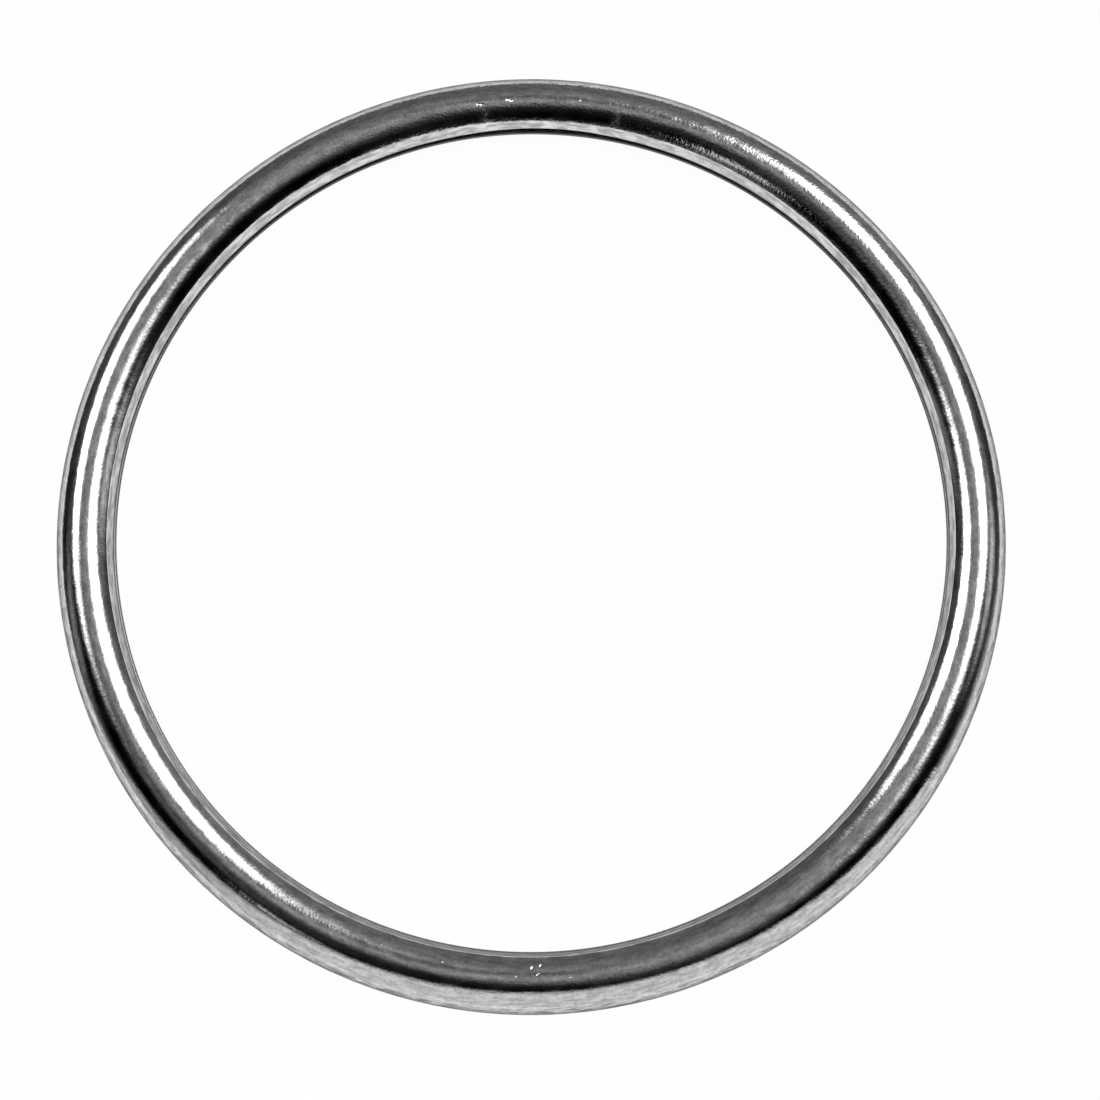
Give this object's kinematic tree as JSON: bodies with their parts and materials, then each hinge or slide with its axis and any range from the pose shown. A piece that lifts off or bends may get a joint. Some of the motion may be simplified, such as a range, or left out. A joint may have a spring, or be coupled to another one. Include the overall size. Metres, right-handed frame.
{
  "type": "exhaust gasket",
  "caption": "Ring gasket for a round exhaust joint, rolled from one strip of bright steel sheet, with a domed crown, a flat seat and a straight bore wall.",
  "frame": {"origin": "centre of the ring, on the plane of its flat seat", "axes": "+Z along the ring's axis, from the flat seat towards the domed crown"},
  "size_m": [0.072, 0.072, 0.0029],
  "materials": {
    "bright_steel": "bright rolled steel with a fine grain along the ring and light handling marks"
  },
  "bodies": {
    "root": {"gasket_ring": "bright_steel"}
  },
  "joints": []
}
